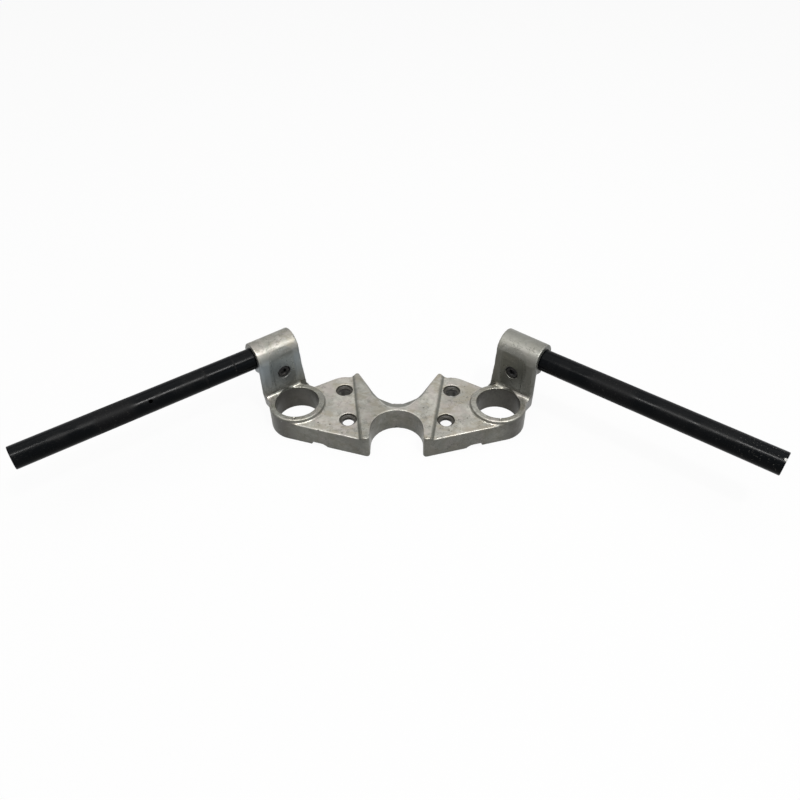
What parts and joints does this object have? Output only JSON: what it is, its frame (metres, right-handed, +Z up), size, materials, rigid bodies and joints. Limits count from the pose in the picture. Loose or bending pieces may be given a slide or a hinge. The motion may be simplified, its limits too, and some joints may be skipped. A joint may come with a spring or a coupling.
{
  "type": "motorcycle_handlebar",
  "caption": "Cast aluminium handlebar bridge with fork collars, bolt pads and risers, carrying swept-back black steel bar tubes held by pinch screws",
  "frame": {"origin": "On the flat underside of the casting, midway between the two fork collars", "axes": "X from the rider's left to the right, Y forward, Z up along the fork tubes"},
  "size_m": [0.6846, 0.1888, 0.0862],
  "materials": {
    "cast_aluminium": "satin as-cast aluminium, worn and lightly stained",
    "black_bar": "glossy black coated steel tube with dull scuffs",
    "black_screw": "black oxide steel"
  },
  "bodies": {
    "root": {"bridge_casting": "cast_aluminium", "left_bar_tube": "black_bar", "right_bar_tube": "black_bar", "left_pinch_screw": "black_screw", "right_pinch_screw": "black_screw"}
  },
  "joints": []
}
